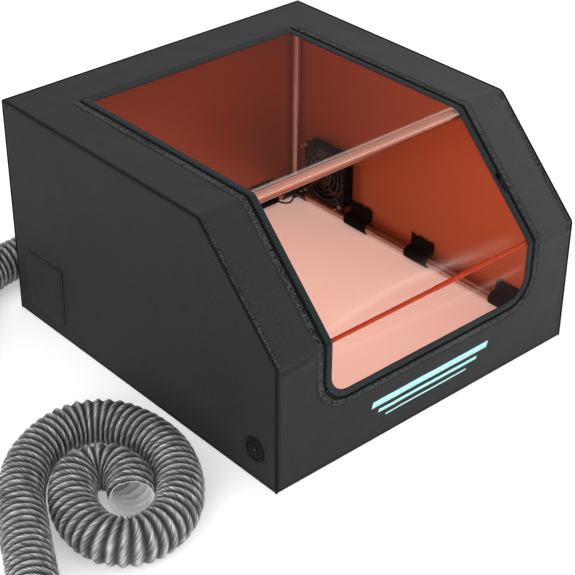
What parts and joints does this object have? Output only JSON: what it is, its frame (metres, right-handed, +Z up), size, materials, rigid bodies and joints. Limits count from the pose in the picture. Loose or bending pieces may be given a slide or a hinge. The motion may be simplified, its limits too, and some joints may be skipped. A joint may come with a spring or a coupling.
{
  "type": "laser engraver enclosure",
  "caption": "Free-standing fabric-covered tube-frame enclosure with a sloping zipped amber window, a wall-mounted exhaust fan, a duct flange and a ribbed hose.",
  "frame": {"origin": "centre of the enclosure's footprint, on the surface it stands on (the cord nodes are left out)", "axes": "+Z up, +Y towards the rear wall, +X towards the wall with the exhaust fan"},
  "size_m": [1.7033, 0.9568, 0.4349],
  "materials": {
    "frame_steel": "bright coated steel tube",
    "connector_plastic": "moulded black plastic",
    "cover_fabric": "charcoal coated woven cloth with a silver foil lining",
    "window_film": "clear amber film, glossy",
    "fold_rod": "orange-red, satin",
    "zip_tape": "grained black tape",
    "zip_metal": "black enamelled metal",
    "grommet_plastic": "moulded black plastic",
    "grommet_rubber": "soft black rubber with slits",
    "strap_webbing": "black hook-and-loop cloth with pinked ends",
    "fan_plastic": "black plastic, satin",
    "impeller_plastic": "black plastic, glossy",
    "guard_wire": "bright wire",
    "screw_steel": "zinc-plated steel",
    "flange_plastic": "black plastic, slight sheen",
    "clamp_steel": "stainless steel",
    "hose_cloth": "grey coated cloth over a wire helix",
    "cord_rubber": "black cable sheath",
    "plug_plastic": "moulded black plastic with a steel shell"
  },
  "bodies": {
    "enclosure": {"left_bottom_rail": "frame_steel", "right_bottom_rail": "frame_steel", "left_rear_post": "frame_steel", "right_rear_post": "frame_steel", "left_roof_rail": "frame_steel", "right_roof_rail": "frame_steel", "left_front_tube": "frame_steel", "right_front_tube": "frame_steel", "front_bottom_rail": "frame_steel", "rear_bottom_rail": "frame_steel", "rear_top_rail": "frame_steel", "roof_cross_tube": "frame_steel", "left_front_foot": "connector_plastic", "left_rear_foot": "connector_plastic", "left_rear_corner": "connector_plastic", "left_roof_bend": "connector_plastic", "right_front_foot": "connector_plastic", "right_rear_foot": "connector_plastic", "right_rear_corner": "connector_plastic", "right_roof_bend": "connector_plastic", "left_panel": "cover_fabric", "right_panel": "cover_fabric", "rear_panel": "cover_fabric", "front_roof_cover": "cover_fabric", "zip_tape": "zip_tape", "grommet_ring": "grommet_plastic", "grommet_insert": "grommet_rubber", "right_strap_1": "strap_webbing", "right_strap_2": "strap_webbing", "right_strap_3": "strap_webbing", "rear_strap": "strap_webbing", "fan_frame": "fan_plastic", "fan_guard": "guard_wire", "fan_screw_1": "screw_steel", "fan_screw_2": "screw_steel", "fan_screw_3": "screw_steel", "fan_screw_4": "screw_steel", "fan_nut_1": "screw_steel", "fan_nut_2": "screw_steel", "fan_nut_3": "screw_steel", "fan_nut_4": "screw_steel", "duct_flange": "flange_plastic", "clamp_band": "clamp_steel", "clamp_housing": "clamp_steel", "hose_cuff": "hose_cloth", "hose_run": "hose_cloth", "hose_coil": "hose_cloth", "fan_cord_run": "cord_rubber", "fan_cord_coil": "cord_rubber", "usb_plug": "plug_plastic"},
    "roof_pane": {"roof_pane": "window_film"},
    "slope_pane": {"slope_pane": "window_film", "fold_rod_left": "fold_rod", "fold_rod_right": "fold_rod"},
    "front_pane": {"front_pane": "window_film"},
    "zip_slider": {"zip_slider": "zip_metal"},
    "zip_pull": {"zip_pull": "zip_metal"},
    "port_flap": {"port_flap": "cover_fabric"},
    "impeller": {"fan_impeller": "impeller_plastic"},
    "clamp_screw": {"clamp_screw": "clamp_steel"}
  },
  "joints": [
    {"name": "window_lift", "type": "hinge", "parent": "enclosure", "child": "roof_pane", "pos_m": [0, 0.274, 0.434], "axis": [-1, 0, 0], "range_deg": [0, 100]},
    {"name": "upper_fold", "type": "hinge", "parent": "roof_pane", "child": "slope_pane", "pos_m": [0, -0.181, 0.434], "axis": [-1, 0, 0], "range_deg": [0, 80]},
    {"name": "lower_fold", "type": "hinge", "parent": "slope_pane", "child": "front_pane", "pos_m": [0, -0.368, 0.244], "axis": [-1, 0, 0], "range_deg": [0, 80]},
    {"name": "zip_travel", "type": "slide", "parent": "slope_pane", "child": "zip_slider", "axis": [0, 0.7015, 0.7127], "range_m": [-0.085, 0.115]},
    {"name": "pull_swing", "type": "hinge", "parent": "zip_slider", "child": "zip_pull", "pos_m": [0.243, -0.2802, 0.33927], "axis": [-1, 0, 0], "range_deg": [0, 150]},
    {"name": "flap_lift", "type": "hinge", "parent": "enclosure", "child": "port_flap", "pos_m": [-0.3513, 0.276, 0.144], "axis": [0, 1, 0], "range_deg": [0, 150]},
    {"name": "fan_spin", "type": "hinge", "parent": "enclosure", "child": "impeller", "pos_m": [0.33, 0.25, 0.094], "axis": [1, 0, 0], "continuous": true},
    {"name": "clamp_turn", "type": "hinge", "parent": "enclosure", "child": "clamp_screw", "pos_m": [0.3854, 0.25, 0.141], "axis": [0, 1, 0], "continuous": true}
  ]
}
